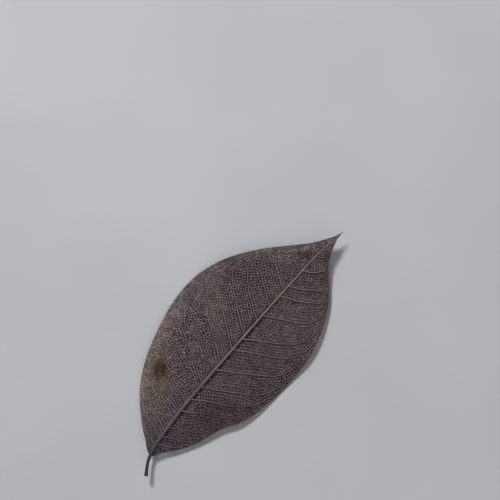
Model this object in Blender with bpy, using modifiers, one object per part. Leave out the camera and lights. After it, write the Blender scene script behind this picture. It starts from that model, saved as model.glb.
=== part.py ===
"""Skeleton leaf: the bare vein net of one leaf, lying with its raised midrib up.

The leaf is drawn flat first, in millimetres: Y runs along it from the stem end
to the tip and X across it. Its net is a sheet of cells whose walls follow the
midrib, the side veins and the margin. The walls become bars, the midrib is a
tapered tube, and both are bent to the leaf's slight waves before they are joined.
"""

import math
import random

import bmesh
import bpy
import numpy as np
from mathutils import Vector
from mathutils.geometry import delaunay_2d_cdt

MM = 0.001

# Driving dimensions, in millimetres
LENGTH = 104.4
BLADE_START = 5.5
MIDRIB_BOW = ((0.0, 0.0), (4.0, -2.5), (9.0, -4.0), (16.0, -4.7), (26.0, -5.0), (40.0, -4.65), (60.0, -3.9),
              (80.0, -3.0), (96.0, -1.9), (LENGTH, -0.3))
HALF_WIDTH_RIGHT = ((BLADE_START, 0.4), (8.4, 2.6), (12.4, 6.7), (18.6, 11.1), (23.5, 13.2), (28.0, 14.9),
                    (32.3, 17.7), (38.0, 19.9), (46.0, 21.6), (57.0, 22.1), (67.0, 21.0), (76.0, 18.0),
                    (84.0, 13.6), (90.5, 7.7), (95.0, 3.9), (99.5, 1.5), (LENGTH, 0.3))
HALF_WIDTH_LEFT = ((BLADE_START, 0.4), (8.4, 2.8), (12.0, 6.8), (19.4, 13.6), (28.7, 18.9), (40.0, 22.8),
                   (50.0, 25.0), (58.0, 25.5), (66.0, 24.3), (75.0, 20.4), (84.0, 14.0), (90.5, 7.9),
                   (95.0, 4.0), (99.5, 1.5), (LENGTH, 0.3))

# Side veins: where each leaves the midrib, and how far forward it has swept at the margin
VEINS_RIGHT = ((16.7, 10.0), (23.5, 14.0), (28.5, 16.5), (33.9, 17.5), (41.6, 20.0), (50.6, 18.0),
               (55.3, 20.5), (65.8, 15.5), (74.6, 11.8), (79.0, 11.5), (86.0, 8.5))
VEINS_LEFT = ((15.2, 9.0), (20.2, 10.8), (26.9, 13.5), (35.4, 21.0), (44.7, 26.5), (50.8, 27.0),
              (57.0, 26.0), (63.5, 23.8), (70.0, 20.0), (77.0, 15.0), (85.0, 9.0))
EVEN_SHARE = 0.65
LATE_POWER = 12
FULL_SWEEP = 0.93
VEIN_REACH = 0.86

# Bars of the net and the midrib
CELL = 2.75
NET_BAR = 0.85
VEIN_BAR = 1.05
MARGIN_BAR = 0.95
MIDRIB_WIDTH = ((0.0, 1.5), (5.0, 1.25), (30.0, 1.2), (70.0, 1.05), (96.0, 0.85), (LENGTH, 0.62))
MIDRIB_RAISE = 0.12
MIDRIB_RINGS = 44

# Where the net's cells lie: shares of a cell, and places along the leaf
BESIDE_LINE = 0.45
PAIR_GAP = 0.68
FREE_GAP = 0.72
UNEVENNESS = 0.3
ROW_STEP = math.sqrt(3) / 2
CELLS_FROM = 7.0
CELLS_TO = 98.4
NET_START = 6.4
NET_END = 100.4
END_ZONE = 3.6
ROUND_LEAF = 12.0
SHORTEST_WALL = 0.95

# Form of the lying leaf
REST_HEIGHT = 0.36
FLAT_FROM = 40.0
FLAT_TO = 64.0
STEM_LIFT = 3.6
TIP_LIFT = 5.4
WING_ARCH = 1.7
ARCH_GROWTH = 20.0
EDGE_WAVE = 1.9
WAVE_LENGTH = 37.0
WAVE_LOW_RIGHT = 50.0
WAVE_LOW_LEFT = 55.0

RIGHT = 1
LEFT = -1
THINNEST_BLADE = 0.3


def smooth_curve(points, place):
    """Value at a place, or at many, of a smooth curve through (place, value) points."""
    knots = np.array([p[0] for p in points])
    values = np.array([p[1] for p in points])
    slopes = np.gradient(values, knots)
    place = np.clip(place, knots[0], knots[-1])
    i = np.clip(np.searchsorted(knots, place, side="right") - 1, 0, len(knots) - 2)
    step = knots[i + 1] - knots[i]
    u = (place - knots[i]) / step
    rise = values[i + 1] - values[i]
    bend_in = slopes[i] * step - rise
    bend_out = rise - slopes[i + 1] * step
    return values[i] + u * rise + u * (1 - u) * ((1 - u) * bend_in + u * bend_out)


def midrib_x(y):
    """How far the midrib lies from the straight line between stem end and tip."""
    return smooth_curve(MIDRIB_BOW, y)


def half_width(y, side):
    """Width of the blade from the midrib to the margin on one side."""
    right = smooth_curve(HALF_WIDTH_RIGHT, y)
    left = smooth_curve(HALF_WIDTH_LEFT, y)
    return np.where(np.asarray(side) > 0, right, left)


def across(x, y):
    """Signed share of the half width at a point: 0 on the midrib, 1 or -1 on a margin."""
    off = x - midrib_x(y)
    side = np.where(off >= 0, RIGHT, LEFT)
    return off / np.maximum(half_width(y, side), THINNEST_BLADE)


def height(x, y):
    """Height of the middle of the sheet above the surface that the leaf lies on."""
    share = across(x, y)
    edge = np.minimum(np.abs(share), 1.0)
    before = np.maximum(FLAT_FROM - y, 0) / FLAT_FROM
    after = np.maximum(y - FLAT_TO, 0) / (LENGTH - FLAT_TO)
    ends = STEM_LIFT * before ** 2 + TIP_LIFT * after ** 2
    growth = np.clip(np.minimum(y - BLADE_START, LENGTH - y) / ARCH_GROWTH, 0, 1)
    arch = WING_ARCH * np.sin(math.pi * edge) * growth
    low = np.where(share > 0, WAVE_LOW_RIGHT, WAVE_LOW_LEFT)
    wave = EDGE_WAVE * edge ** 2 * (0.5 - 0.5 * np.cos(2 * math.pi * (y - low) / WAVE_LENGTH))
    return REST_HEIGHT + ends + arch + wave


def line_with_sides(line):
    """Places one cell apart along a line, each as a pair of points on its two sides."""
    line = np.array(line)
    steps = np.diff(line, axis=0)
    length = np.concatenate(([0.0], np.cumsum(np.hypot(steps[:, 0], steps[:, 1]))))
    count = max(int(length[-1] / CELL), 1)
    pairs = []
    for at in (np.arange(count) + 0.5) * length[-1] / count:
        i = int(np.searchsorted(length, at)) - 1
        along = steps[i] / np.hypot(*steps[i])
        here = line[i] + along * (at - length[i])
        beside = np.array([-along[1], along[0]]) * CELL * BESIDE_LINE
        pairs.append((here + beside, here - beside))
    return pairs


def side_vein(start, sweep, side):
    """Line of one side vein, from the midrib forward to near the margin."""
    line = []
    for share in np.linspace(0.0, VEIN_REACH, 40):
        swept = share / FULL_SWEEP
        y = start + sweep * (EVEN_SHARE * swept + (1 - EVEN_SHARE) * swept ** LATE_POWER)
        line.append(point_across(share, y, side))
    return line


def point_across(share, y, side):
    """Point at a share of the way from the midrib to the margin."""
    x = midrib_x(y) + side * share * half_width(y, side)
    return float(x), float(y)


class Seeds:
    """Middles of the net's cells, each with the line that it stands beside."""

    def __init__(self):
        self.points = []
        self.lines = []
        self.sides = []

    def free(self, point, gap):
        """Whether a point keeps the gap to every seed set so far."""
        if not self.points:
            return True
        apart = np.array(self.points) - np.array(point)
        return float(np.min(np.hypot(apart[:, 0], apart[:, 1]))) > gap

    def add(self, point, line="", side=0):
        self.points.append((float(point[0]), float(point[1])))
        self.lines.append(line)
        self.sides.append(side)

    def add_pairs(self, line, name):
        """Seed both sides of a line alike, so that a wall of the net runs along it."""
        for first, second in line_with_sides(line):
            if self.free(first, PAIR_GAP * CELL) and self.free(second, PAIR_GAP * CELL):
                self.add(first, name, 1)
                self.add(second, name, -1)


def inside_blade(x, y):
    """Whether a point lies within the margins and between the blade's two ends."""
    return abs(float(across(x, y))) < 1 and CELLS_FROM < y < CELLS_TO


def seed_net():
    """Seeds for the whole net: beside the margins, the midrib and the side veins, then between."""
    seeds = Seeds()
    blade = np.linspace(CELLS_FROM, CELLS_TO, 120)
    for side in (LEFT, RIGHT):
        seeds.add_pairs([point_across(1.0, y, side) for y in blade], "margin")
    seeds.add_pairs([point_across(0.0, y, RIGHT) for y in blade], "midrib")
    for side, veins in ((LEFT, VEINS_LEFT), (RIGHT, VEINS_RIGHT)):
        for start, sweep in veins:
            seeds.add_pairs(side_vein(start, sweep, side), f"vein {side} {start}")
    for x, y in uneven_rows():
        if seeds.free((x, y), FREE_GAP * CELL):
            seeds.add((x, y))
    return seeds


def uneven_rows():
    """Rows of points a cell apart, each moved a little at random, over and round the leaf."""
    rng = random.Random(7)
    widest = max(width for _, width in HALF_WIDTH_LEFT + HALF_WIDTH_RIGHT) + ROUND_LEAF
    rows = int((LENGTH + 2 * ROUND_LEAF) / (CELL * ROW_STEP))
    columns = int(2 * widest / CELL)
    for row in range(rows):
        for column in range(columns):
            x = -widest + (column + 0.5 * (row % 2)) * CELL
            y = -ROUND_LEAF + row * CELL * ROW_STEP
            yield x + rng.uniform(-UNEVENNESS, UNEVENNESS), y + rng.uniform(-UNEVENNESS, UNEVENNESS)


def cell_corners(seeds):
    """Centres of the circles through each three neighbouring seeds, and the cells round them."""
    coords = [Vector(p) for p in seeds.points]
    points, _, triangles, source, _, _ = delaunay_2d_cdt(coords, [], [], 0, 1e-6)
    points = np.array([(p.x, p.y) for p in points])
    a, b, c = (points[[t[k] for t in triangles]] for k in range(3))
    d = 2 * (a[:, 0] * (b[:, 1] - c[:, 1]) + b[:, 0] * (c[:, 1] - a[:, 1]) + c[:, 0] * (a[:, 1] - b[:, 1]))
    aa, bb, cc = ((p ** 2).sum(axis=1) for p in (a, b, c))
    x = (aa * (b[:, 1] - c[:, 1]) + bb * (c[:, 1] - a[:, 1]) + cc * (a[:, 1] - b[:, 1])) / d
    y = (aa * (c[:, 0] - b[:, 0]) + bb * (a[:, 0] - c[:, 0]) + cc * (b[:, 0] - a[:, 0])) / d
    around = {}
    for index, triangle in enumerate(triangles):
        for corner in triangle:
            around.setdefault(source[corner][0], []).append(index)
    return np.stack((x, y), axis=1), around


def net_sheet():
    """Flat sheet whose faces are the holes of the net and whose edges are its veins."""
    seeds = seed_net()
    corners, around = cell_corners(seeds)
    mesh = bmesh.new()
    vertices = {}
    kept = {}
    for index, (x, y) in enumerate(seeds.points):
        if not inside_blade(x, y):
            continue
        ring = around[index]
        ring.sort(key=lambda i: math.atan2(corners[i][1] - y, corners[i][0] - x))
        for i in ring:
            if i not in vertices:
                vertices[i] = mesh.verts.new((corners[i][0], corners[i][1], 0.0))
        face = mesh.faces.new([vertices[i] for i in ring])
        kept[face] = index
    weigh_bars(mesh, kept, seeds)
    bmesh.ops.remove_doubles(mesh, verts=mesh.verts, dist=SHORTEST_WALL)
    gather_end(mesh, NET_START, min(v.co.y for v in mesh.verts))
    gather_end(mesh, NET_END, max(v.co.y for v in mesh.verts))
    return mesh


def gather_end(mesh, end, outermost):
    """Bring the margins together on the midrib at one end of the blade."""
    rim = [v for v in mesh.verts if v.is_boundary and abs(v.co.y - outermost) < END_ZONE]
    blunt = [v for v in rim if abs(v.co.x - float(midrib_x(v.co.y))) < END_ZONE]
    point = Vector((float(midrib_x(end)), end, 0.0))
    bmesh.ops.pointmerge(mesh, verts=blunt, merge_co=point)


def weigh_bars(mesh, kept, seeds):
    """Give each junction the thickness of its widest bar, as a share of the side veins'."""
    layer = mesh.verts.layers.deform.verify()
    for vertex in mesh.verts:
        vertex[layer][0] = NET_BAR / VEIN_BAR
    for edge in mesh.edges:
        cells = [kept[face] for face in edge.link_faces]
        share = NET_BAR / VEIN_BAR
        if len(cells) == 1:
            share = MARGIN_BAR / VEIN_BAR
        elif seeds.lines[cells[0]] == seeds.lines[cells[1]] and seeds.sides[cells[0]] != seeds.sides[cells[1]]:
            share = 1.0
        for vertex in edge.verts:
            vertex[layer][0] = max(vertex[layer][0], share)


def apply_modifiers(piece):
    """Make a piece's evaluated mesh its own and drop its modifiers."""
    bpy.context.view_layer.update()
    graph = bpy.context.evaluated_depsgraph_get()
    mesh = bpy.data.meshes.new_from_object(piece.evaluated_get(graph))
    piece.modifiers.clear()
    piece.data = mesh


def net_bars(collection):
    """The net as bars of diamond section, bent to the form of the leaf."""
    sheet = net_sheet()
    mesh = bpy.data.meshes.new("net")
    sheet.to_mesh(mesh)
    sheet.free()
    net = bpy.data.objects.new("net", mesh)
    net.vertex_groups.new(name="bar thickness")
    collection.objects.link(net)
    bars = net.modifiers.new("bars", "WIREFRAME")
    bars.thickness = VEIN_BAR
    bars.vertex_group = "bar thickness"
    bars.use_even_offset = True
    bars.use_boundary = True
    bars.use_replace = True
    split = net.modifiers.new("split", "TRIANGULATE")
    split.quad_method = "SHORTEST_DIAGONAL"
    apply_modifiers(net)
    net.vertex_groups.clear()
    bend(net.data)
    return net


def bend(mesh):
    """Lift each point of a flat mesh by the height of the leaf there, and turn it to metres."""
    points = np.empty(len(mesh.vertices) * 3)
    mesh.vertices.foreach_get("co", points)
    points = points.reshape(-1, 3)
    points[:, 2] += height(points[:, 0], points[:, 1])
    mesh.vertices.foreach_set("co", (points * MM).ravel())
    mesh.update()


def midrib_tube(collection):
    """Stem end and midrib: one tapered tube from end to end of the leaf."""
    curve = bpy.data.curves.new("midrib", "CURVE")
    curve.dimensions = "3D"
    curve.bevel_depth = 0.5 * MM
    curve.bevel_resolution = 3
    curve.use_fill_caps = True
    places = np.linspace(0.0, LENGTH, MIDRIB_RINGS)
    spline = curve.splines.new("POLY")
    spline.points.add(len(places) - 1)
    for point, y in zip(spline.points, places):
        x = float(midrib_x(y))
        z = float(height(x, y)) + MIDRIB_RAISE
        point.co = (x * MM, float(y) * MM, z * MM, 1.0)
        point.radius = float(smooth_curve(MIDRIB_WIDTH, y))
    drawn = bpy.data.objects.new("midrib line", curve)
    collection.objects.link(drawn)
    bpy.context.view_layer.update()
    graph = bpy.context.evaluated_depsgraph_get()
    mesh = bpy.data.meshes.new_from_object(drawn.evaluated_get(graph))
    midrib = bpy.data.objects.new("midrib", mesh)
    midrib.matrix_world = drawn.matrix_world
    bpy.data.objects.remove(drawn)
    weld = bmesh.new()
    weld.from_mesh(mesh)
    bmesh.ops.remove_doubles(weld, verts=weld.verts, dist=1e-6)
    weld.to_mesh(mesh)
    weld.free()
    collection.objects.link(midrib)
    return midrib


def ground_block(collection):
    """Block whose top is the surface, to give the lowest bars flat undersides."""
    size = 2 * LENGTH * MM
    bpy.ops.mesh.primitive_cube_add(size=size, location=(0.0, 0.0, -size / 2))
    block = bpy.context.object
    block.name = "ground"
    block.hide_render = True
    block.display_type = "WIRE"
    for holder in block.users_collection:
        holder.objects.unlink(block)
    collection.objects.link(block)
    return block


def combine(piece, other, operation):
    """Join another solid to a piece, or cut it away, and remove the other."""
    change = piece.modifiers.new(operation, "BOOLEAN")
    change.operation = operation
    change.object = other
    change.solver = "EXACT"
    apply_modifiers(piece)
    bpy.data.objects.remove(other)


def dyed_net():
    """Dyed vein fibre: dull purple brown."""
    material = bpy.data.materials.new("dyed vein fibre")
    material.use_nodes = True
    surface = material.node_tree.nodes["Principled BSDF"]
    surface.inputs["Base Color"].default_value = (0.075, 0.052, 0.06, 1.0)
    surface.inputs["Roughness"].default_value = 0.7
    surface.inputs["Metallic"].default_value = 0.0
    return material


def centre_on_box(piece):
    """Put the middle of the leaf's box over the origin."""
    mesh = piece.data
    points = np.empty(len(mesh.vertices) * 3)
    mesh.vertices.foreach_get("co", points)
    points = points.reshape(-1, 3)
    middle = (points.min(axis=0) + points.max(axis=0)) / 2
    middle[2] = 0.0
    mesh.vertices.foreach_set("co", (points - middle).ravel())
    mesh.update()


def main():
    for old in list(bpy.data.objects):
        bpy.data.objects.remove(old)
    leaf_parts = bpy.data.collections.new("skeleton leaf")
    helpers = bpy.data.collections.new("helpers")
    for collection in (leaf_parts, helpers):
        bpy.context.scene.collection.children.link(collection)
    leaf = net_bars(leaf_parts)
    leaf.name = "skeleton_leaf"
    combine(leaf, midrib_tube(helpers), "UNION")
    combine(leaf, ground_block(helpers), "DIFFERENCE")
    centre_on_box(leaf)
    leaf.data.materials.clear()
    leaf.data.materials.append(dyed_net())


main()
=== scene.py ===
"""Looks of a dyed skeleton leaf: stem end and midrib, side veins, margin veins and a fine net of veins.

The leaf is drawn flat in millimetres, Y from its stem end to its tip, as in the model that it
dresses. Its net has three levels: wide meshes, meshes within those, and the finest areoles. The
walls of one level guide the next. Everything is then bent to the form of the lying leaf.
"""

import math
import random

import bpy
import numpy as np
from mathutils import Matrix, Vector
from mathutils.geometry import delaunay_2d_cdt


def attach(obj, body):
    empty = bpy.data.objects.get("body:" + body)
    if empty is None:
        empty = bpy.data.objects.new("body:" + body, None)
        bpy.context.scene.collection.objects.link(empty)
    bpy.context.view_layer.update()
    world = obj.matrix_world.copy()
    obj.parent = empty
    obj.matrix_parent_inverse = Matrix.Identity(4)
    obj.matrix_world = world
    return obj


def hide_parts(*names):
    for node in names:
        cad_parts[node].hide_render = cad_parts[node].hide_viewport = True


bl_info = {
    "name": "Skeleton Leaf",
    "version": (1, 0, 0),
    "blender": (4, 5, 0),
    "location": "3D View > Sidebar > Skeleton Leaf",
    "description": "Dresses a skeleton leaf with its veins, its fine net and its dye",
    "category": "Add Mesh",
}

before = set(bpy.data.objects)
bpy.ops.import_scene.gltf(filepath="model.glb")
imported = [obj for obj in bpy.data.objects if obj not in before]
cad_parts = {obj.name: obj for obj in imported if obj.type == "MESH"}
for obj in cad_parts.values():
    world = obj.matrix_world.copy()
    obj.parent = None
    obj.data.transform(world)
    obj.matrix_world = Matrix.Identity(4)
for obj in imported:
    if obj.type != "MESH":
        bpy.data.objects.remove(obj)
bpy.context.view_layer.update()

MM = 0.001
NODE = "skeleton_leaf"
RIGHT = 1
LEFT = -1

# Outline and course of the veins, in millimetres of the flat leaf
LENGTH = 104.4
LEAF_MIDDLE = (-5.7602, 52.0406)
BLADE_START = 5.5
MIDRIB_BOW = ((0.0, 0.0), (4.0, -2.5), (9.0, -4.0), (16.0, -4.7), (26.0, -5.0), (40.0, -4.65), (60.0, -3.9),
              (80.0, -3.0), (96.0, -1.9), (LENGTH, -0.3))
HALF_WIDTH_RIGHT = ((BLADE_START, 0.4), (8.4, 2.6), (12.4, 6.7), (18.6, 11.1), (23.5, 13.2), (28.0, 14.9),
                    (32.3, 17.7), (38.0, 19.9), (46.0, 21.6), (57.0, 22.1), (67.0, 21.0), (76.0, 18.0),
                    (84.0, 13.6), (90.5, 7.7), (95.0, 3.9), (99.5, 1.5), (LENGTH, 0.3))
HALF_WIDTH_LEFT = ((BLADE_START, 0.4), (8.4, 2.8), (12.0, 6.8), (19.4, 13.6), (28.7, 18.9), (40.0, 22.8),
                   (50.0, 25.0), (58.0, 25.5), (66.0, 24.3), (75.0, 20.4), (84.0, 14.0), (90.5, 7.9),
                   (95.0, 4.0), (99.5, 1.5), (LENGTH, 0.3))
THINNEST_BLADE = 0.3

# Side veins: where each leaves the midrib, and how far forward it has swept near the margin
VEINS = {RIGHT: ((16.7, 10.0), (23.5, 14.0), (28.5, 16.5), (33.9, 17.5), (41.6, 20.0), (50.6, 18.0),
                 (55.3, 20.5), (65.8, 15.5), (74.6, 11.8), (79.0, 11.5), (86.0, 8.5)),
         LEFT: ((15.2, 9.0), (20.2, 10.8), (26.9, 13.5), (35.4, 21.0), (44.7, 26.5), (50.8, 27.0),
                (57.0, 26.0), (63.5, 23.8), (70.0, 20.0), (77.0, 15.0), (85.0, 9.0))}
END_VEINS = {RIGHT: ((10.0, 4.5), (13.2, 6.5), (92.2, 5.0)), LEFT: ((9.4, 3.8), (12.3, 6.2), (91.0, 5.5))}
FAINT_STARTS = {RIGHT: (20.2, 31.3, 37.4, 45.8, 53.0, 60.4, 70.0, 82.6),
                LEFT: (17.8, 23.6, 31.1, 39.8, 47.8, 53.9, 60.2, 66.8, 73.6, 81.0)}

# Sweep of a side vein: the share of it that is even, the power of the rest, where it is full and its most
EVEN_SHARE = 0.65
LATE_POWER = 12
FULL_SWEEP = 0.93
MOST_SWEEP = 1.03
HALVINGS = 22

# Wander of a side vein: how far in millimetres, and how its waves turn with the share of the half width and its start
WANDERS = ((0.13, 11.0, 1.7), (0.06, 29.0, 2.9))
WANDER_EASE = 6.0

# Form of the lying leaf, in millimetres
REST_HEIGHT = 0.36
FLAT_FROM = 40.0
FLAT_TO = 64.0
STEM_LIFT = 3.6
TIP_LIFT = 5.4
WING_ARCH = 1.7
ARCH_GROWTH = 20.0
EDGE_WAVE = 1.9
WAVE_LENGTH = 37.0
WAVE_LOW_RIGHT = 50.0
WAVE_LOW_LEFT = 55.0
WAVE_EASE = 7.0

# Relief of the net: how deep in millimetres it sinks between two side veins, the gap between them that it takes to
# sink in full, its least and most share of that, and the waves of its crinkle, by turns along x and y and their start
QUILT_DEPTH = 0.28
QUILT_GAP = 6.5
QUILT_SHARES = (0.3, 1.2)
QUILT_SPREAD = 0.6
CRINKLE = 0.06
CRINKLE_WAVES = ((1.9, 0.8, 0.0), (-1.2, 2.3, 1.0), (0.9, 0.0, 0.5))

# Levels of the net: cell, unevenness, first and last place along the leaf; and the side vein under which pieces meet
WIDE_MESH = (2.4, 0.5, 7.0, 98.4)
MIDDLE_MESH = (0.88, 0.22, 6.4, 101.8)
FINE_MESH = (0.37, 0.08, 6.0, 103.4)
PARTING_VEIN = 4

# Seeds and walls of the net, in cells: rows apart, off a line, apart in pairs and alone, past the margin, and the
# shortest wall that is drawn or guides others. Then, in millimetres, points that are one, and room round the leaf
ROW_STEP = math.sqrt(3) / 2
BESIDE_LINE = 0.45
PAIR_GAP = 0.68
FREE_GAP = 0.72
PAST_MARGIN = 4
SHORTEST_WALL = 0.22
SHORTEST_GUIDE = 0.12
TOUCHING = 1e-7
ROUND_LEAF = 12.0

# Walls of the net are thicker near the margins and the tip, and the blade closes on the midrib at both ends
DENSER_RIGHT = 0.25
DENSER_LEFT = 0.7
DENSER_TIP = 0.25
DENSER_FROM = 0.7
DENSER_OVER = 0.25
TIP_FROM = 84.0
TIP_OVER = 12.0
CLOSING_BASE = 1.5
CLOSING_TIP = 4.5

# Shares of the half width that veins reach: those the wide meshes follow, those at both ends, the others
WIDE_REACH = 0.86
END_REACH = 0.9
SIDE_REACH = 0.94
FAINT_REACH = 0.72

# How far a wall of the net stands out, from the finest to those on a side vein
FINE_RANK = 0.0
MIDDLE_RANK = 1.0
WIDE_RANK = 2.0
VEIN_RANK = 3.0

# Midrib: widths along it as shares of the stem's and of its own, how flat it is, and how far right of its course
STEM_NECK = (2.0, 0.84)
MIDRIB_WIDTHS = ((7.0, 1.0), (18.0, 1.02), (30.0, 0.96), (46.0, 0.74), (60.0, 0.58), (74.0, 0.43))
THREAD_FROM = 96.0
MIDRIB_FLATNESS = 0.6
FLATTER_OVER = 8.0
MIDRIB_ASIDE = 0.22
ASIDE_GROWS = 20.0
ASIDE_FADES = 14.0

# Side, faint and margin veins: their widths as shares of the full one, and the half width at which they are full
SHORT_VEIN = 0.62
VEIN_FULL_AT = 14.0
VEIN_CHANCE = (0.88, 1.1)
VEIN_TAPER = 1.4
FAINT_END = 0.65
SHORT_MARGIN = 0.55
MARGIN_FULL_AT = 3.0
MARGIN_STOP = 0.1

# Loose ends: where they start, how they lie, and how long and thick they are
FRAY_ROOM = (2.0, 6.0)
FRAY_GAP = (0.2, 1.0)
FRAY_ROOT = 0.99
FRAY_LEAN = (-0.2, 1.2)
FRAY_SHORTEST = 0.2
FRAY_LONGER = 0.9
FRAY_RARITY = 3
FRAY_CURL = 0.4
FRAY_RISE = 0.1
FRAY_WIDTHS = (0.13, 0.06)
MARGIN_STEP = 0.3

# Flake of tissue: its size as a share of its spot's, how ragged and how much narrower it is
FLAKE_SIZE = 0.8
FLAKE_RAGS = (0.8, 1.08)
FLAKE_NARROWER = 0.9

# How far the middles of the veins stand above the sheet, and the flake below it
MIDRIB_LIFT = 0.44
MIDRIB_SINK = 10.0
MIDRIB_SUNK = 0.1
VEIN_LIFT = 0.26
FAINT_LIFT = 0.05
COARSE_LIFT = 0.05
TISSUE_DEPTH = 0.13
TISSUE_THICKNESS = 0.05

# Seeds of the random draws
NET_DRAWS = 7
VEIN_DRAWS = 21
FRAY_DRAWS = 11
FLAKE_DRAWS = 5

# Ragged spots on the flat leaf, as x, y, radius and strength: without dye, deep in dye, and with tissue left
BROWN_SPOTS = ((-27.5, 67.0, 5.0, 1.0), (-22.0, 61.9, 4.5, 1.0), (-17.2, 57.1, 3.2, 0.9), (-13.5, 53.6, 2.4, 0.7),
               (-18.5, 24.5, 8.5, 1.0), (-24.0, 35.0, 6.0, 0.9), (4.0, 72.0, 11.0, 0.6), (10.5, 62.0, 7.0, 0.5),
               (-9.0, 88.0, 9.0, 0.5), (3.0, 47.0, 3.5, 0.4), (-12.5, 15.0, 6.0, 0.9), (-8.0, 12.0, 4.0, 0.7),
               (0.5, 96.0, 7.0, 0.55), (7.0, 86.0, 5.0, 0.65), (11.0, 80.5, 4.0, 0.6))
DEEP_SPOTS = ((-17.5, 72.0, 8.0, 0.22), (4.0, 18.0, 9.0, 0.3), (-8.0, 36.0, 5.0, 0.12), (12.0, 44.0, 7.0, 0.15),
              (5.0, 28.8, 6.5, 0.52), (9.0, 32.8, 5.5, 0.46), (13.5, 37.0, 4.5, 0.34), (17.5, 60.0, 4.5, 0.2),
              (3.5, 50.0, 4.5, 0.22), (-24.0, 75.0, 4.5, 0.36), (-2.0, 97.0, 6.0, 0.38), (-7.0, 92.0, 3.5, 0.42))
TISSUE_SPOTS = ((-18.5, 30.5, 3.2, 1.0),)
CORE_SPOTS = ((-17.9, 30.1, 1.7, 0.5),)
STAIN_RAGS = 5.0
STAIN_SHIFT = 4.0
STAIN_RIM = (1.35, 0.45)

# Red, green and blue light that the dye leaves: nowhere less, in each half of the blade, and where it pooled deepest
WHITE = (1.0, 1.0, 1.0, 1.0)
LIGHT_LEFT = (0.85, 0.855, 0.855, 1.0)
LIGHT_RIGHT = (0.675, 0.655, 0.67, 1.0)
POOL_LIGHT = (0.22, 0.0, 0.06, 1.0)

# Where looks change, by the share of the half width, or by millimetres from the midrib or a side vein: from one
# place to another, and the values there where those aren't 0 and 1
HALVES = (-0.12, 0.08)
GRAIN_STRENGTH = (-0.1, 0.1, 0.44, 0.36)
BLEACHED_EDGE = (-0.68, -1.0)
VEINS_FADE = (0.8, 1.0, 0.0, 0.4)
# Painted shadow on the stem's side of each side vein, by share of the half width and by millimetres from the vein
VEIN_SHADOW_RIGHT = (0.9, 0.75)
VEIN_SHADOW_LEFT = (-0.9, 0.0)
VEIN_SHADOW_STARTS = (-1.1, -0.5, 1.0, 0.5)
VEIN_SHADOW_ENDS = (-0.2, 0.1)
# Painted shadow beside the midrib, by millimetres from it
RIB_SHADOW_RIGHT_LOW = (1.8, 1.15, 1.0, 0.28)
RIB_SHADOW_RIGHT_HIGH = (1.35, 0.75, 1.0, 0.6)
RIB_SHADOW_LEFT = (-1.3, -0.7, 1.0, 0.5)
RIB_SIDES = (-0.1, 0.1)

# Range that holds nearly all of a noise, its octaves and their roughness, and the light that it is turned to
NOISE = (0.3, 0.7)
PALE_LENGTHS = (0.3, 0.5)
OCTAVES = (3.0, 0.6)
THREAD_OCTAVES = 1.0
BLOTCH_OCTAVES = (4.0, 0.65)
CLOUD_LIGHT = (0.75, 1.25)
STREAK_LIGHT = (0.66, 1.32)
BLOTCH_LIGHT = (0.65, 1.35)
PAINT_LIGHT = (0.97, 1.03)

# Sizes of the patterns, in millimetres. Threads and strands are drawn coarser than life, which is 0.02 to 0.1 mm.
# Threads are stretched and turned to run across the side veins, and streaks run along the midrib
DYE_CLOUD = 2.2
THREAD_SIZE = 0.36
THREAD_STRETCH = 3.2
THREAD_TURN = math.radians(39)
NET_STRAND = 0.12
VEIN_STRAND = 0.15
RIB_STRAND = 0.22
RIB_STREAK = 0.06
UNEVEN_DYE = 7.0
FAINT_UNEVEN_DYE = 4.0
EDGE_UNEVEN_DYE = 5.0
TISSUE_BLOTCH = 1.1
TISSUE_CRUMPLE = 0.5
PAINT_DRIFT = 60.0
BUMP_FILTER = 0.1

# Refractive index of dry fibre, and of paint alike
IOR = 1.5

# Settings of the shader nodes
MIX_COLOURS = {"data_type": "RGBA"}
MIX_VALUES = {"data_type": "FLOAT"}
EASED = {"interpolation_type": "SMOOTHSTEP"}
TIMES = {"operation": "MULTIPLY"}
TIMES_PLUS = {"operation": "MULTIPLY_ADD"}
LARGER = {"operation": "MAXIMUM"}
WITHOUT_SIGN = {"operation": "ABSOLUTE"}
SCALED = {"operation": "SCALE"}
APART = {"operation": "DISTANCE"}

# What is noted at each point of a piece: share of the way to a margin, and millimetres from a vein
OUTWARD = {"attribute_name": "outward"}
ASIDE = {"attribute_name": "aside"}
BEYOND = {"attribute_name": "beyond"}

# Map of the net, for its upper faces in one half and the lower ones in the other: size, rim and step aside
MAP_SIZE = (0.49, 0.98)
MAP_RIM = (0.005, 0.01)
MAP_ASIDE = 0.5

# Stage, in millimetres: the floor's gap under the leaf, and the width of the camera's sensor
FLOOR_GAP = 0.02
SENSOR = 36.0

# Photograph's frame: where the stem end and the tip lie in its 500 pixels
FRAME_PIXELS = 500
STEM_PIXEL = (147.0, 474.0)
TIP_PIXEL = (342.0, 233.0)


def linear(hex_colour):
    """Linear red, green, blue and full cover of an sRGB hex colour."""
    parts = [int(hex_colour[i:i + 2], 16) / 255 for i in (1, 3, 5)]
    return [p / 12.92 if p <= 0.04045 else ((p + 0.055) / 1.055) ** 2.4 for p in parts] + [1.0]


def colour_property(name, description, hex_colour):
    """Colour setting of the panel."""
    return bpy.props.FloatVectorProperty(
        name=name, description=description, subtype="COLOR", size=4, min=0.0, max=1.0, default=linear(hex_colour))


def length_property(name, description, millimetres):
    """Length setting of the panel, given in millimetres."""
    return bpy.props.FloatProperty(
        name=name, description=description, subtype="DISTANCE", unit="LENGTH", min=0.0, default=millimetres * MM)


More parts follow.
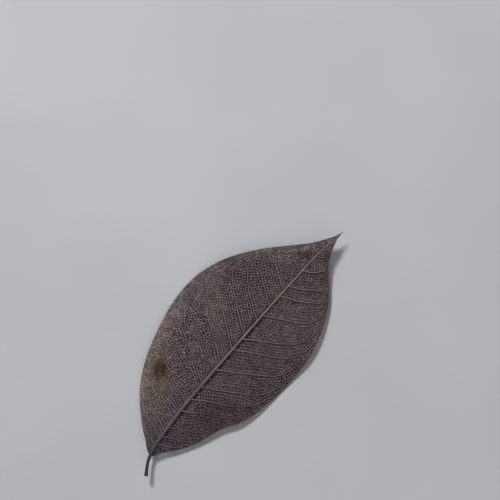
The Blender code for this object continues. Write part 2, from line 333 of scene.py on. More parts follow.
class SkeletonLeafSizes(bpy.types.PropertyGroup):
    """Thickness of each kind of vein."""

    stem_width: length_property("Stem width", "Width of the stem end where it was picked", 1.3)
    midrib_width: length_property("Midrib width", "Width of the midrib where the blade begins", 1.2)
    midrib_tip_width: length_property("Midrib tip width", "Width of the midrib at the tip", 0.36)
    vein_width: length_property("Side vein width", "Width of a side vein where it leaves the midrib", 0.42)
    vein_end_width: length_property("Side vein end", "Width of a side vein near the margin", 0.16)
    faint_width: length_property("Faint vein width", "Width of the fainter veins between", 0.25)
    margin_width: length_property("Margin width", "Width of the vein along the margin", 0.34)
    wide_wall: length_property("Wide mesh wall", "Thickness of the veins of the widest meshes", 0.25)
    middle_wall: length_property("Middle mesh wall", "Thickness of the veins of the middle meshes", 0.2)
    fine_wall: length_property("Fine mesh wall", "Thickness of the finest veins", 0.2)


class SkeletonLeafColours(bpy.types.PropertyGroup):
    """Dye and fibre colours."""

    fine_purple: colour_property("Fine net purple", "Finest veins where the dye took well", "#351c27")
    fine_brown: colour_property("Fine net brown", "Finest veins where the fibre's own brown shows", "#5f504b")
    net_purple: colour_property("Net purple", "Coarser veins of the net where the dye took well", "#9b8991")
    net_brown: colour_property("Net brown", "Coarser veins of the net where the fibre's own brown shows", "#97867e")
    side_dyed: colour_property("Side vein dyed", "Side veins on the side that took more dye", "#8c7d7c")
    faint_vein: colour_property("Faint vein", "Fainter veins between the side veins", "#75686b")
    side_pale: colour_property("Side vein pale", "Side veins on the paler side", "#918382")
    midrib_low: colour_property("Midrib low", "Midrib in the lower half of the blade", "#5c4f54")
    midrib_high: colour_property("Midrib high", "Midrib towards the tip", "#7f726b")
    bleached: colour_property("Bleached edge", "Net along the left margin, where the dye has faded", "#887a74")
    bleached_high: colour_property("Bleached edge to the tip", "Upper half of it, which is greyer", "#746a6f")
    stem: colour_property("Stem", "Stem end, soaked deep in dye", "#362b3d")
    margin: colour_property("Margin", "Vein along the margin", "#94867f")
    tissue: colour_property("Tissue", "Bit of leaf tissue left under the net", "#5c422d")


class SkeletonLeafStage(bpy.types.PropertyGroup):
    """Floor, light and camera."""

    floor: colour_property("Floor", "Plain pale floor", "#c6c7cb")
    key_power: bpy.props.FloatProperty(
        name="Key light", description="Power of the large soft light", default=8.6, min=0.0, unit="POWER")
    fill_power: bpy.props.FloatProperty(
        name="Fill light", description="Power of the weaker light across from it", default=0.5, min=0.0, unit="POWER")
    sky: bpy.props.FloatProperty(
        name="Sky", description="Strength of the even light from all round", default=0.22, min=0.0)
    camera_height: length_property("Camera height", "Height of the camera over the floor", 450.0)


def smooth_curve(points, place):
    """Value at a place, or at many, of a smooth curve through (place, value) points."""
    knots = np.array([p[0] for p in points])
    values = np.array([p[1] for p in points])
    slopes = np.gradient(values, knots)
    place = np.clip(place, knots[0], knots[-1])
    i = np.clip(np.searchsorted(knots, place, side="right") - 1, 0, len(knots) - 2)
    step = knots[i + 1] - knots[i]
    u = (place - knots[i]) / step
    rise = values[i + 1] - values[i]
    bend_in = slopes[i] * step - rise
    bend_out = rise - slopes[i + 1] * step
    return values[i] + u * rise + u * (1 - u) * ((1 - u) * bend_in + u * bend_out)


def midrib_x(y):
    """How far the midrib lies from the straight line between stem end and tip."""
    return smooth_curve(MIDRIB_BOW, y)


def half_width(y, side):
    """Width of the blade from the midrib to the margin on one side."""
    right = smooth_curve(HALF_WIDTH_RIGHT, y)
    left = smooth_curve(HALF_WIDTH_LEFT, y)
    return np.where(np.asarray(side) > 0, right, left)


def across(x, y):
    """Signed share of the half width at a point: 0 on the midrib, 1 or -1 on a margin."""
    off = x - midrib_x(y)
    side = np.where(off >= 0, RIGHT, LEFT)
    return off / np.maximum(half_width(y, side), THINNEST_BLADE)


def height(x, y):
    """Height of the middle of the sheet above the surface that the leaf lies on."""
    share = across(x, y)
    edge = np.minimum(np.abs(share), 1.0)
    before = np.maximum(FLAT_FROM - y, 0) / FLAT_FROM
    after = np.maximum(y - FLAT_TO, 0) / (LENGTH - FLAT_TO)
    ends = STEM_LIFT * before ** 2 + TIP_LIFT * after ** 2
    growth = np.clip(np.minimum(y - BLADE_START, LENGTH - y) / ARCH_GROWTH, 0, 1)
    arch = WING_ARCH * np.sin(math.pi * edge) * growth
    low = np.where(share > 0, WAVE_LOW_RIGHT, WAVE_LOW_LEFT)
    ease = np.clip(np.minimum(y - BLADE_START, LENGTH - y) / WAVE_EASE, 0, 1)
    wave = EDGE_WAVE * edge ** 2 * ease * (0.5 - 0.5 * np.cos(2 * math.pi * (y - low) / WAVE_LENGTH))
    return REST_HEIGHT + ends + arch + wave


def midrib_lift(y):
    """How far the middle of the midrib stands above the sheet: it sinks into the blade at the tip."""
    return MIDRIB_LIFT * np.clip((LENGTH - y) / MIDRIB_SINK, MIDRIB_SUNK, 1)


def swept(share):
    """Share of its forward sweep that a side vein has made at a share of the half width."""
    share = np.minimum(share / FULL_SWEEP, MOST_SWEEP)
    return EVEN_SHARE * share + (1 - EVEN_SHARE) * share ** LATE_POWER


def all_veins(side):
    """Start and sweep of all the side veins of one side, in order."""
    return sorted(VEINS[side] + END_VEINS[side])


def vein_root(x, y, side):
    """Where along the midrib of one side a side vein through this point would start."""
    share = np.abs(across(x, y))
    veins = all_veins(side)
    low = np.zeros_like(y)
    high = y.copy()
    for _ in range(HALVINGS):
        middle = (low + high) / 2
        short = middle + smooth_curve(veins, middle) * swept(share) < y
        low = np.where(short, middle, low)
        high = np.where(short, high, middle)
    return (low + high) / 2


def relief(x, y):
    """Fine form of the net: it sinks between the side veins and is slightly crinkled."""
    side = across(x, y)
    sag = np.zeros_like(y)
    for half, on_side in ((RIGHT, side >= 0), (LEFT, side < 0)):
        root = vein_root(x, y, half)
        starts = np.array([start for start, _ in all_veins(half)])
        i = np.clip(np.searchsorted(starts, root) - 1, 0, len(starts) - 2)
        share = np.clip((root - starts[i]) / (starts[i + 1] - starts[i]), 0, 1)
        room = np.clip((starts[i + 1] - starts[i]) / QUILT_GAP, *QUILT_SHARES)
        sag = np.where(on_side, room * np.sin(math.pi * share) ** 2, sag)
    edge = np.clip(np.abs(side), 0, 1)
    first, second, third = (np.sin(a * x + b * y + start) for a, b, start in CRINKLE_WAVES)
    return CRINKLE * (first + second * third) - QUILT_DEPTH * sag * np.sin(math.pi * edge) ** QUILT_SPREAD


def point_across(share, y, side):
    """Point at a share of the way from the midrib to the margin."""
    x = midrib_x(y) + side * share * half_width(y, side)
    return float(x), float(y)


def edge_share(y):
    """Share of the half width that the blade fills: it closes on the midrib at both of its ends."""
    return np.clip(np.minimum((y - BLADE_START) / CLOSING_BASE, (LENGTH - y) / CLOSING_TIP), 0, 1)


def side_vein_y(start, sweep, share):
    """Place along the leaf of a side vein at a share of the half width: it sweeps forward, wandering slightly."""
    wander = sum(far * np.sin(turn * share + shift * start) for far, turn, shift in WANDERS)
    return start + sweep * swept(share) + wander * np.minimum(1.0, WANDER_EASE * share)


def side_vein(start, sweep, side, reach, count=40):
    """Line of one side vein, from the midrib to a share of the half width."""
    shares = np.linspace(0.0, reach, count)
    return [point_across(share, side_vein_y(start, sweep, share), side) for share in shares]


def beyond_vein(x, y):
    """How far a point lies beyond the nearest side vein, towards the tip; negative on the stem's side."""
    share = across(x, y)
    nearest = np.full_like(y, LENGTH)
    for side in (LEFT, RIGHT):
        for start, sweep in all_veins(side):
            gap = y - side_vein_y(start, sweep, np.abs(share))
            closer = (side * share >= 0) & (np.abs(gap) < np.abs(nearest))
            nearest = np.where(closer, gap, nearest)
    return nearest


def faint_veins(side):
    """Start and sweep of the fainter veins that run between the side veins."""
    return [(start, float(smooth_curve(all_veins(side), start))) for start in FAINT_STARTS[side]]


class Line:
    """A vein that walls of the net follow."""

    def __init__(self, points, rank):
        self.points = np.array(points)
        self.rank = rank

    def pairs(self, cell):
        """Places a cell apart along the line, each as a pair of points on its two sides."""
        steps = np.diff(self.points, axis=0)
        length = np.concatenate(([0.0], np.cumsum(np.hypot(steps[:, 0], steps[:, 1]))))
        count = max(int(length[-1] / cell), 1)
        for at in (np.arange(count) + 0.5) * length[-1] / count:
            i = int(np.searchsorted(length, at)) - 1
            along = steps[i] / math.hypot(*steps[i])
            here = self.points[i] + along * (at - length[i])
            beside = np.array([-along[1], along[0]]) * cell * BESIDE_LINE
            yield here + beside, here - beside


class Seeds:
    """Middles of the net's cells, each with the line that it stands beside."""

    def __init__(self, cell):
        self.cell = cell
        self.points = []
        self.lines = []
        self.sides = []
        self.squares = {}

    def free(self, point, gap):
        """Whether a point keeps the gap to every seed set so far."""
        column = int(math.floor(point[0] / self.cell))
        row = int(math.floor(point[1] / self.cell))
        for i in (column - 1, column, column + 1):
            for j in (row - 1, row, row + 1):
                for x, y in self.squares.get((i, j), ()):
                    if math.hypot(x - point[0], y - point[1]) <= gap:
                        return False
        return True

    def add(self, point, line=-1, side=0):
        """Set one seed."""
        x, y = float(point[0]), float(point[1])
        square = (int(math.floor(x / self.cell)), int(math.floor(y / self.cell)))
        self.squares.setdefault(square, []).append((x, y))
        self.points.append((x, y))
        self.lines.append(line)
        self.sides.append(side)

    def add_pairs(self, line, index):
        """Seed both sides of a line alike, so that a wall of the net runs along it."""
        gap = PAIR_GAP * self.cell
        for first, second in line.pairs(self.cell):
            if self.free(first, gap) and self.free(second, gap):
                self.add(first, index, 1)
                self.add(second, index, -1)


def uneven_rows(cell, unevenness):
    """Rows of points a cell apart, each moved a little at random, over and round the leaf."""
    rng = random.Random(NET_DRAWS)
    widest = max(width for _, width in HALF_WIDTH_LEFT + HALF_WIDTH_RIGHT) + ROUND_LEAF
    rows = int((LENGTH + 2 * ROUND_LEAF) / (cell * ROW_STEP))
    columns = int(2 * widest / cell)
    points = []
    for row in range(rows):
        for column in range(columns):
            x = -widest + (column + 0.5 * (row % 2)) * cell
            y = -ROUND_LEAF + row * cell * ROW_STEP
            points.append((x + rng.uniform(-unevenness, unevenness), y + rng.uniform(-unevenness, unevenness)))
    return np.array(points)


class Net:
    """One level of the net: a seed for each cell, the corners of the walls and who shares them."""

    def __init__(self, mesh, lines):
        self.cell, unevenness, self.first, self.last = mesh
        self.lines = lines
        self.seeds = Seeds(self.cell)
        for index, line in enumerate(lines):
            self.seeds.add_pairs(line, index)
        rows = uneven_rows(self.cell, unevenness)
        off = rows[:, 0] - midrib_x(rows[:, 1])
        side = np.where(off > 0, RIGHT, LEFT)
        near = np.abs(off) < half_width(rows[:, 1], side) + PAST_MARGIN * self.cell
        for point in rows[near]:
            if self.seeds.free(point, FREE_GAP * self.cell):
                self.seeds.add(point)
        self.find_corners()

    def find_corners(self):
        """Centres of the circles through each three neighbouring seeds, and the corners round each seed."""
        coords = [Vector(p) for p in self.seeds.points]
        points, _, triangles, source, _, _ = delaunay_2d_cdt(coords, [], [], 0, TOUCHING)
        points = np.array([(p.x, p.y) for p in points])
        origin = np.array([s[0] for s in source])
        triangles = np.array(triangles)
        a, b, c = (points[triangles[:, k]] for k in range(3))
        d = 2 * (a[:, 0] * (b[:, 1] - c[:, 1]) + b[:, 0] * (c[:, 1] - a[:, 1]) + c[:, 0] * (a[:, 1] - b[:, 1]))
        aa, bb, cc = ((p ** 2).sum(axis=1) for p in (a, b, c))
        x = (aa * (b[:, 1] - c[:, 1]) + bb * (c[:, 1] - a[:, 1]) + cc * (a[:, 1] - b[:, 1])) / d
        y = (aa * (c[:, 0] - b[:, 0]) + bb * (a[:, 0] - c[:, 0]) + cc * (b[:, 0] - a[:, 0])) / d
        self.corners = np.stack((x, y), axis=1)
        self.triangles = origin[triangles]
        x, y = np.array(self.seeds.points).T
        self.inside = (np.abs(across(x, y)) < edge_share(y)) & (y > self.first) & (y < self.last)

    def on_line(self, first, second):
        """For seeds in pairs, the line whose two sides they stand on, or -1."""
        lines = np.array(self.seeds.lines)
        sides = np.array(self.seeds.sides)
        same = (lines[first] == lines[second]) & (lines[first] >= 0) & (sides[first] != sides[second])
        return np.where(same, lines[first], -1)

    def corner_ranks(self):
        """Rank of the widest vein that meets at each corner."""
        ranks = np.array([line.rank for line in self.lines])
        widest = np.zeros(len(self.triangles))
        for k in range(3):
            line = self.on_line(self.triangles[:, k], self.triangles[:, (k + 1) % 3])
            widest = np.maximum(widest, np.where(line >= 0, ranks[line], FINE_RANK))
        return widest

    def walls(self, rank):
        """Every wall between two cells, as a line for the next level to follow."""
        first_seen = {}
        walls = []
        for index, triangle in enumerate(self.triangles):
            for k in range(3):
                pair = (int(triangle[k]), int(triangle[(k + 1) % 3]))
                pair = (min(pair), max(pair))
                if pair not in first_seen:
                    first_seen[pair] = index
                    continue
                if not (self.inside[pair[0]] or self.inside[pair[1]]):
                    continue
                ends = self.corners[[first_seen[pair], index]]
                if math.hypot(*(ends[1] - ends[0])) > SHORTEST_GUIDE * self.cell:
                    walls.append(Line(ends, rank))
        return walls

    def cells(self):
        """The corners round each cell inside the blade, in turn."""
        around = {}
        for index, triangle in enumerate(self.triangles):
            for seed in triangle:
                around.setdefault(int(seed), []).append(index)
        for seed in np.flatnonzero(self.inside):
            x, y = self.seeds.points[seed]
            ring = around[int(seed)]
            angles = np.arctan2(self.corners[ring, 1] - y, self.corners[ring, 0] - x)
            yield int(seed), [ring[i] for i in np.argsort(angles)]


def blade_lines(mesh, reach):
    """Margins, midrib and side veins as lines for a level of the net to follow."""
    _, _, first, last = mesh
    blade = np.linspace(first, last, num=120)
    lines = []
    for side in (LEFT, RIGHT):
        lines.append(Line([point_across(edge_share(y), y, side) for y in blade], VEIN_RANK))
    lines.append(Line([point_across(0.0, y, RIGHT) for y in blade], VEIN_RANK))
    for side in (LEFT, RIGHT):
        for start, sweep in VEINS[side]:
            lines.append(Line(side_vein(start, sweep, side, reach), VEIN_RANK))
    return lines


def fine_lines(mesh):
    """Lines for the finer levels: those of the blade, and the fainter veins between."""
    lines = blade_lines(mesh, SIDE_REACH)
    for side in (LEFT, RIGHT):
        for start, sweep in END_VEINS[side]:
            lines.append(Line(side_vein(start, sweep, side, END_REACH), VEIN_RANK))
        for start, sweep in faint_veins(side):
            lines.append(Line(side_vein(start, sweep, side, FAINT_REACH), WIDE_RANK))
    return lines


def net_levels():
    """The middle and the finest level of the net, each with its walls led by the levels above it."""
    wide = Net(WIDE_MESH, blade_lines(WIDE_MESH, WIDE_REACH))
    middle = Net(MIDDLE_MESH, fine_lines(MIDDLE_MESH) + wide.walls(WIDE_RANK))
    fine = Net(FINE_MESH, fine_lines(FINE_MESH) + wide.walls(WIDE_RANK) + middle.walls(MIDDLE_RANK))
    return middle, fine


def mesh_points(mesh):
    """Points of a mesh, one to a row."""
    points = np.empty(len(mesh.vertices) * 3)
    mesh.vertices.foreach_get("co", points)
    return points.reshape(-1, 3)


def place_points(mesh, lift):
    """Bend a flat mesh to the lying leaf, and put it where the model is."""
    points = mesh_points(mesh)
    x, y = points[:, 0].copy(), points[:, 1].copy()
    points[:, 2] += height(x, y) + relief(x, y) + lift
    points[:, 0] -= LEAF_MIDDLE[0]
    points[:, 1] -= LEAF_MIDDLE[1]
    mesh.vertices.foreach_set("co", (points * MM).ravel())
    mesh.update()


def select_only(piece):
    """Make one object the only selected and the active one."""
    bpy.ops.object.select_all(action="DESELECT")
    piece.select_set(True)
    bpy.context.view_layer.objects.active = piece


def note_places(mesh):
    """Note at each point how far it lies towards a margin, from the midrib and beyond a side vein."""
    x, y = (mesh_points(mesh)[:, :2] / MM + LEAF_MIDDLE).T
    notes = {"outward": across(x, y), "aside": x - midrib_x(y), "beyond": beyond_vein(x, y)}
    for name, values in notes.items():
        mesh.attributes.new(name, "FLOAT", "POINT").data.foreach_set("value", values)


def settle(piece, material):
    """Give a finished piece its notes, its material and its body, and hide the solid that it stands for."""
    if not piece.data.polygons or piece.modifiers:
        raise RuntimeError(f"{piece.name} has no faces or still has modifiers")
    note_places(piece.data)
    piece.data.materials.clear()
    piece.data.materials.append(material)
    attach(piece, "root")
    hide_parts(NODE)


def vein_tubes(name, veins, material, sides):
    """Veins as tapered tubes along (points, widths), in one piece."""
    bpy.ops.object.select_all(action="DESELECT")
    bpy.ops.curve.primitive_nurbs_path_add(location=(0.0, 0.0, 0.0))
    drawn = bpy.context.object
    drawn.name = name
    curve = drawn.data
    curve.splines.clear()
    curve.dimensions = "3D"
    curve.bevel_depth = 0.5 * MM
    curve.bevel_resolution = (sides - 4) // 2
    curve.use_fill_caps = True
    for points, widths in veins:
        spline = curve.splines.new("POLY")
        spline.points.add(len(points) - 1)
        for point, place, width in zip(spline.points, points, widths):
            point.co = (*(np.array(place) * MM), 1.0)
            point.radius = width
    select_only(drawn)
    bpy.ops.object.convert(target="MESH")
    bpy.ops.object.mode_set(mode="EDIT")
    bpy.ops.mesh.select_all(action="SELECT")
    bpy.ops.mesh.remove_doubles(threshold=0.001 * MM)
    bpy.ops.mesh.normals_make_consistent(inside=False)
    bpy.ops.object.mode_set(mode="OBJECT")
    bpy.ops.object.shade_smooth_by_angle(angle=math.radians(50))
    settle(bpy.context.object, material)
    return bpy.context.object


def on_leaf(line, lift):
    """Points of a flat line lifted onto the lying leaf, in the model's place and in millimetres."""
    line = np.array(line)
    x, y = line[:, 0], line[:, 1]
    z = height(x, y) + lift
    return np.stack((x - LEAF_MIDDLE[0], y - LEAF_MIDDLE[1], z), axis=1)


def add_node(tree, kind, inputs=(), settings=None, output=None):
    """Add a shader node with its settings, set or link the inputs that it then shows, and give one output."""
    node = tree.nodes.new("ShaderNode" + kind)
    for name, value in (settings or {}).items():
        setattr(node, name, value)
    for socket, value in zip([socket for socket in node.inputs if socket.enabled], inputs):
        if isinstance(value, bpy.types.NodeSocket):
            tree.links.new(value, socket)
        else:
            socket.default_value = value
    return node.outputs[output] if output else [socket for socket in node.outputs if socket.enabled][0]


def new_material(name, roughness, specular):
    """A material, its node tree, its surface shader and the place on the piece, in its own metres."""
    material = bpy.data.materials.new(name)
    material.use_nodes = True
    tree = material.node_tree
    surface = tree.nodes["Principled BSDF"]
    surface.inputs["IOR"].default_value = IOR
    surface.inputs["Roughness"].default_value = roughness
    surface.inputs["Specular IOR Level"].default_value = specular
    return material, tree, surface, add_node(tree, "TexCoord", output="Object")


def finish_surface(tree, surface, colour, strands, strength, depth):
    """Give the surface its colour, and raise its look a little along the strands, by a depth in millimetres."""
    tree.links.new(colour, surface.inputs["Base Color"])
    raised = add_node(tree, "Bump", (strength, depth * MM, BUMP_FILTER, strands))
    tree.links.new(raised, surface.inputs["Normal"])


def stains(tree, place, spots):
    """Share of lying within any of some soft ragged spots of the flat leaf, by their strengths."""
    ragged = add_node(tree, "TexNoise", (place, 1 / (STAIN_RAGS * MM)), output="Color")
    moved = add_node(tree, "VectorMath", (ragged, (STAIN_SHIFT * MM, STAIN_SHIFT * MM, 0.0), place), TIMES_PLUS)
    flat = add_node(tree, "VectorMath", (moved, (1.0, 1.0, 0.0)), TIMES)
    within = 0.0
    for x, y, radius, strength in spots:
        middle = [(at - origin + STAIN_SHIFT / 2) * MM for at, origin in zip((x, y), LEAF_MIDDLE)]
        apart = add_node(tree, "VectorMath", (flat, (*middle, 0.0)), APART)
        outer, inner = (share * radius * MM for share in STAIN_RIM)
        near = add_node(tree, "MapRange", (apart, outer, inner, 0.0, strength), EASED)
        within = add_node(tree, "Math", (near, within), LARGER)
    return within


def dye_pools(tree, place):
    """Red, green and blue light left in the spots where the dye stood deepest."""
    depth = add_node(tree, "MapRange", (stains(tree, place, DEEP_SPOTS),), EASED)
    return add_node(tree, "Mix", (depth, WHITE, POOL_LIGHT), MIX_COLOURS)


def half_depth(tree):
    """Red, green and blue light that the dye leaves in each half of the blade: the right half took more."""
    outward = add_node(tree, "Attribute", settings=OUTWARD, output="Fac")
    on_right = add_node(tree, "MapRange", (outward, *HALVES), EASED)
    return add_node(tree, "Mix", (on_right, LIGHT_LEFT, LIGHT_RIGHT), MIX_COLOURS)


def towards_stem(tree, none, full, most=1.0):
    """Share that grows between two places along the flat leaf, given in millimetres, as the stem end nears."""
    place = add_node(tree, "TexCoord", output="Object")
    along = add_node(tree, "SeparateXYZ", (place,), output="Y")
    start, end = ((y - LEAF_MIDDLE[1]) * MM for y in (none, full))
    return add_node(tree, "MapRange", (along, start, end, 0.0, most), EASED)


def painted_midrib_shadow(tree):
    """Painted shadow: a narrow dark line in the net on both sides of the midrib, which fades to the tip."""
    # On the right the line is wide and dark in the lower half, and on the left it shows in the middle only.
    aside = add_node(tree, "Attribute", settings=ASIDE, output="Fac")
    low, high, left, on_right = (
        add_node(tree, "MapRange", (aside, *change), EASED)
        for change in (RIB_SHADOW_RIGHT_LOW, RIB_SHADOW_RIGHT_HIGH, RIB_SHADOW_LEFT, RIB_SIDES))
    right = add_node(tree, "Mix", (towards_stem(tree, none=70, full=60), high, low), MIX_VALUES)
    left = add_node(tree, "Mix", (towards_stem(tree, none=76, full=66), 1.0, left), MIX_VALUES)
    left = add_node(tree, "Mix", (towards_stem(tree, none=54, full=40), left, 1.0), MIX_VALUES)
    both = add_node(tree, "Mix", (on_right, left, right), MIX_VALUES)
    return add_node(tree, "Mix", (towards_stem(tree, none=94, full=82), 1.0, both), MIX_VALUES)


def painted_side_vein_shadow(tree):
    """Painted shadow: a dark line in the net on the stem's side of each side vein, inwards of the margins."""
    beyond = add_node(tree, "Attribute", settings=BEYOND, output="Fac")
    before = add_node(tree, "MapRange", (beyond, *VEIN_SHADOW_STARTS), EASED)
    after = add_node(tree, "MapRange", (beyond, *VEIN_SHADOW_ENDS), EASED)
    line = add_node(tree, "Mix", (after, before, 1.0), MIX_VALUES)
    outward = add_node(tree, "Attribute", settings=OUTWARD, output="Fac")
    right = add_node(tree, "MapRange", (outward, *VEIN_SHADOW_RIGHT), EASED)
    left = add_node(tree, "MapRange", (outward, *VEIN_SHADOW_LEFT), EASED)
    inner = add_node(tree, "Math", (right, left), TIMES)
    return add_node(tree, "Mix", (inner, 1.0, line), MIX_VALUES)


def thread_grain(tree, place):
    """Light and dark threads that run across the side veins, stronger left of the midrib."""
    turned = add_node(tree, "Mapping", (place, (0.0, 0.0, 0.0), (0.0, 0.0, THREAD_TURN), (THREAD_STRETCH, 1.0, 1.0)),
                      {"vector_type": "TEXTURE"})
    threads = add_node(tree, "TexNoise", (turned, 1 / (THREAD_SIZE * MM), THREAD_OCTAVES))
    light = add_node(tree, "MapRange", (threads, *NOISE, -1.0, 1.0), EASED)
    outward = add_node(tree, "Attribute", settings=OUTWARD, output="Fac")
    strength = add_node(tree, "MapRange", (outward, *GRAIN_STRENGTH), EASED)
    return add_node(tree, "Math", (light, strength, 1.0), TIMES_PLUS)


def net_fibre(name, purple, brown, colours, roughness):
    """Vein net of a leaf whose soft tissue was boiled and brushed away, then bleached and dipped in dye."""
    # Dry plant fibre with a dull dust of dye on it: no clear highlight, purple where the dye took, brown grey in
    # ragged clouds where it did not, and pale along the left margin. Beside the raised veins it is darkened by
    # painted shadow. It is deeper right of the midrib. The real areoles, 0.2 to 0.5 mm across, show as a fine sparkle
    # of light threads, so the grain is drawn as wide as one areole and three long, the least that shows.
    material, tree, surface, place = new_material(name, roughness, specular=0.12)
    outward = add_node(tree, "Attribute", settings=OUTWARD, output="Fac")
    dyed = add_node(tree, "Mix", (stains(tree, place, BROWN_SPOTS), purple, brown), MIX_COLOURS)
    faded = add_node(tree, "MapRange", (outward, *BLEACHED_EDGE), EASED)
    low = towards_stem(tree, none=56, full=42)
    bleached = add_node(tree, "Mix", (low, colours.bleached_high, colours.bleached), MIX_COLOURS)
    ground = add_node(tree, "Mix", (faded, dyed, bleached), MIX_COLOURS)
    stained = add_node(tree, "Mix", (stains(tree, place, TISSUE_SPOTS), ground, colours.tissue), MIX_COLOURS)
    clouds = add_node(tree, "TexNoise", (place, 1 / (DYE_CLOUD * MM), *OCTAVES))
    light = add_node(tree, "MapRange", (clouds, *NOISE, *CLOUD_LIGHT), EASED)
    # Painted shadow beside the midrib and the side veins darkens the net here, along with the thread grain
    for share in (painted_midrib_shadow(tree), thread_grain(tree, place), painted_side_vein_shadow(tree)):
        light = add_node(tree, "Math", (light, share), TIMES)
    lit = add_node(tree, "VectorMath", (stained, light), SCALED)
    for tint in (half_depth(tree), dye_pools(tree, place)):
        lit = add_node(tree, "VectorMath", (lit, tint), TIMES)
    soaked = add_node(tree, "Mix", (towards_stem(tree, none=20, full=5, most=0.8), lit, colours.stem), MIX_COLOURS)
    strands = add_node(tree, "TexNoise", (place, 1 / (NET_STRAND * MM)))
    finish_surface(tree, surface, soaked, strands, strength=0.35, depth=0.03)
    return material


def midrib_fibre(colours):
    """Midrib: a bundle of long woody fibres, dried whole, bleached and dyed with the rest."""
    # Round and a little smoother than the net, so it keeps a soft broad light along its top. Long streaks run with
    # the fibres, and dye has soaked in from the stem end, so it is darkest there and palest towards the tip.
    material, tree, surface, place = new_material("dry midrib fibre", roughness=0.6, specular=0.3)
    low = towards_stem(tree, none=72, full=20)
    body = add_node(tree, "Mix", (low, colours.midrib_high, colours.midrib_low), MIX_COLOURS)
    ground = add_node(tree, "Mix", (towards_stem(tree, none=17, full=2), body, colours.stem), MIX_COLOURS)
    drawn_out = add_node(tree, "Mapping", (place, (0.0, 0.0, 0.0), (0.0, 0.0, 0.0), (1.0, RIB_STREAK, 1.0)))
    streaks = add_node(tree, "TexNoise", (drawn_out, 1 / (RIB_STRAND * MM), *OCTAVES))
    light = add_node(tree, "MapRange", (streaks, *NOISE, *STREAK_LIGHT), EASED)
    lit = add_node(tree, "VectorMath", (ground, light), SCALED)
    finish_surface(tree, surface, lit, streaks, strength=0.6, depth=0.06)
    return material


def vein_fibre(name, colour, dark, length):
    """Side, faint and margin veins and loose ends: thin bundles of dry fibre that took the dye unevenly."""
    # They catch the light as thin pale threads over the dark net, in lengths of a few millimetres where the dye took
    # less, and fade into the net towards the margins. Their strands are about 0.02 mm, too fine to show, so the
    # relief is drawn at 0.15 mm, as rough as the eye takes dry fibre to be.
    material, tree, surface, place = new_material(name, roughness=0.65, specular=0.2)
    uneven = add_node(tree, "TexNoise", (place, 1 / (length * MM), *OCTAVES))
    pale = add_node(tree, "MapRange", (uneven, *PALE_LENGTHS), EASED)
    mixed = add_node(tree, "Mix", (pale, dark, colour), MIX_COLOURS)
    outward = add_node(tree, "Attribute", settings=OUTWARD, output="Fac")
    far = add_node(tree, "Math", (outward,), WITHOUT_SIGN)
    fading = add_node(tree, "MapRange", (far, *VEINS_FADE), EASED)
    faded = add_node(tree, "Mix", (fading, mixed, dark), MIX_COLOURS)
    pooled = add_node(tree, "VectorMath", (faded, dye_pools(tree, place)), TIMES)
    lit = add_node(tree, "VectorMath", (pooled, half_depth(tree)), TIMES)
    strands = add_node(tree, "TexNoise", (place, 1 / (VEIN_STRAND * MM)))
    finish_surface(tree, surface, lit, strands, strength=0.4, depth=0.04)
    return material


def dry_tissue(colours):
    """Bit of old leaf tissue that was left on the net, dried to a thin crumpled crust."""
    # Dull yellow brown without any shine, blotched, and darkest in the middle where it is thickest.
    material, tree, surface, place = new_material("dry leaf tissue", roughness=0.85, specular=0.15)
    blotches = add_node(tree, "TexNoise", (place, 1 / (TISSUE_BLOTCH * MM), *BLOTCH_OCTAVES))
    light = add_node(tree, "MapRange", (blotches, *NOISE, *BLOTCH_LIGHT), EASED)
    thin = add_node(tree, "MapRange", (stains(tree, place, CORE_SPOTS), 0.0, 1.0, 1.0, 0.0), EASED)
    shade = add_node(tree, "Math", (light, thin), TIMES)
    lit = add_node(tree, "VectorMath", (colours.tissue[:3], shade), SCALED)
    crumples = add_node(tree, "TexNoise", (place, 1 / (TISSUE_CRUMPLE * MM), OCTAVES[0]))
    finish_surface(tree, surface, lit, crumples, strength=0.7, depth=0.1)
    return material


def painted_board(colour):
    """Floor: smooth board under a matt pale paint."""
    # Even and nearly without shine, with a hardly seen drift of tone over hands' breadths, as on a rolled coat.
    material, tree, surface, place = new_material("matt painted board", roughness=0.85, specular=0.2)
    drift = add_node(tree, "TexNoise", (place, 1 / (PAINT_DRIFT * MM)))
    light = add_node(tree, "MapRange", (drift, *NOISE, *PAINT_LIGHT), EASED)
    lit = add_node(tree, "VectorMath", (colour[:3], light), SCALED)
    tree.links.new(lit, surface.inputs["Base Color"])
    return material


class LEAF_OT_midrib(bpy.types.Operator):
    """Model the stem end and the midrib as one tapered tube"""

    bl_idname = "leaf.midrib"
    bl_label = "Stem and Midrib"

    def execute(self, context):
        sizes = context.scene.leaf_sizes
        neck, neck_share = STEM_NECK
        widths = ((0.0, sizes.stem_width), (neck, neck_share * sizes.stem_width),
                  *((y, share * sizes.midrib_width) for y, share in MIDRIB_WIDTHS),
                  (THREAD_FROM, sizes.midrib_tip_width), (LENGTH, sizes.midrib_tip_width))
        places = np.linspace(0.0, LENGTH, num=160)
        line = [point_across(0.0, y, RIGHT) for y in places]
        line = [(x + MIDRIB_ASIDE * max(min(y / ASIDE_GROWS, (LENGTH - y) / ASIDE_FADES, 1.0), 0.0), y)
                for x, y in line]
        thick = smooth_curve(widths, places) / MM
        fibre = midrib_fibre(context.scene.leaf_colours)
        rib = vein_tubes("midrib", [(on_leaf(line, midrib_lift(places)), thick)], fibre, sides=16)
        self.flatten(rib.data)
        return {"FINISHED"}

    def flatten(self, mesh):
        """Make the round tube lower than it is wide, along the blade."""
        for vertex in mesh.vertices:
            x, y = vertex.co.x / MM + LEAF_MIDDLE[0], vertex.co.y / MM + LEAF_MIDDLE[1]
            middle = float(height(x, y) + midrib_lift(y)) * MM
            blade = min(max((y - BLADE_START) / FLATTER_OVER, 0.0), 1.0)
            vertex.co.z = middle + (vertex.co.z - middle) * (1 - blade * (1 - MIDRIB_FLATNESS))


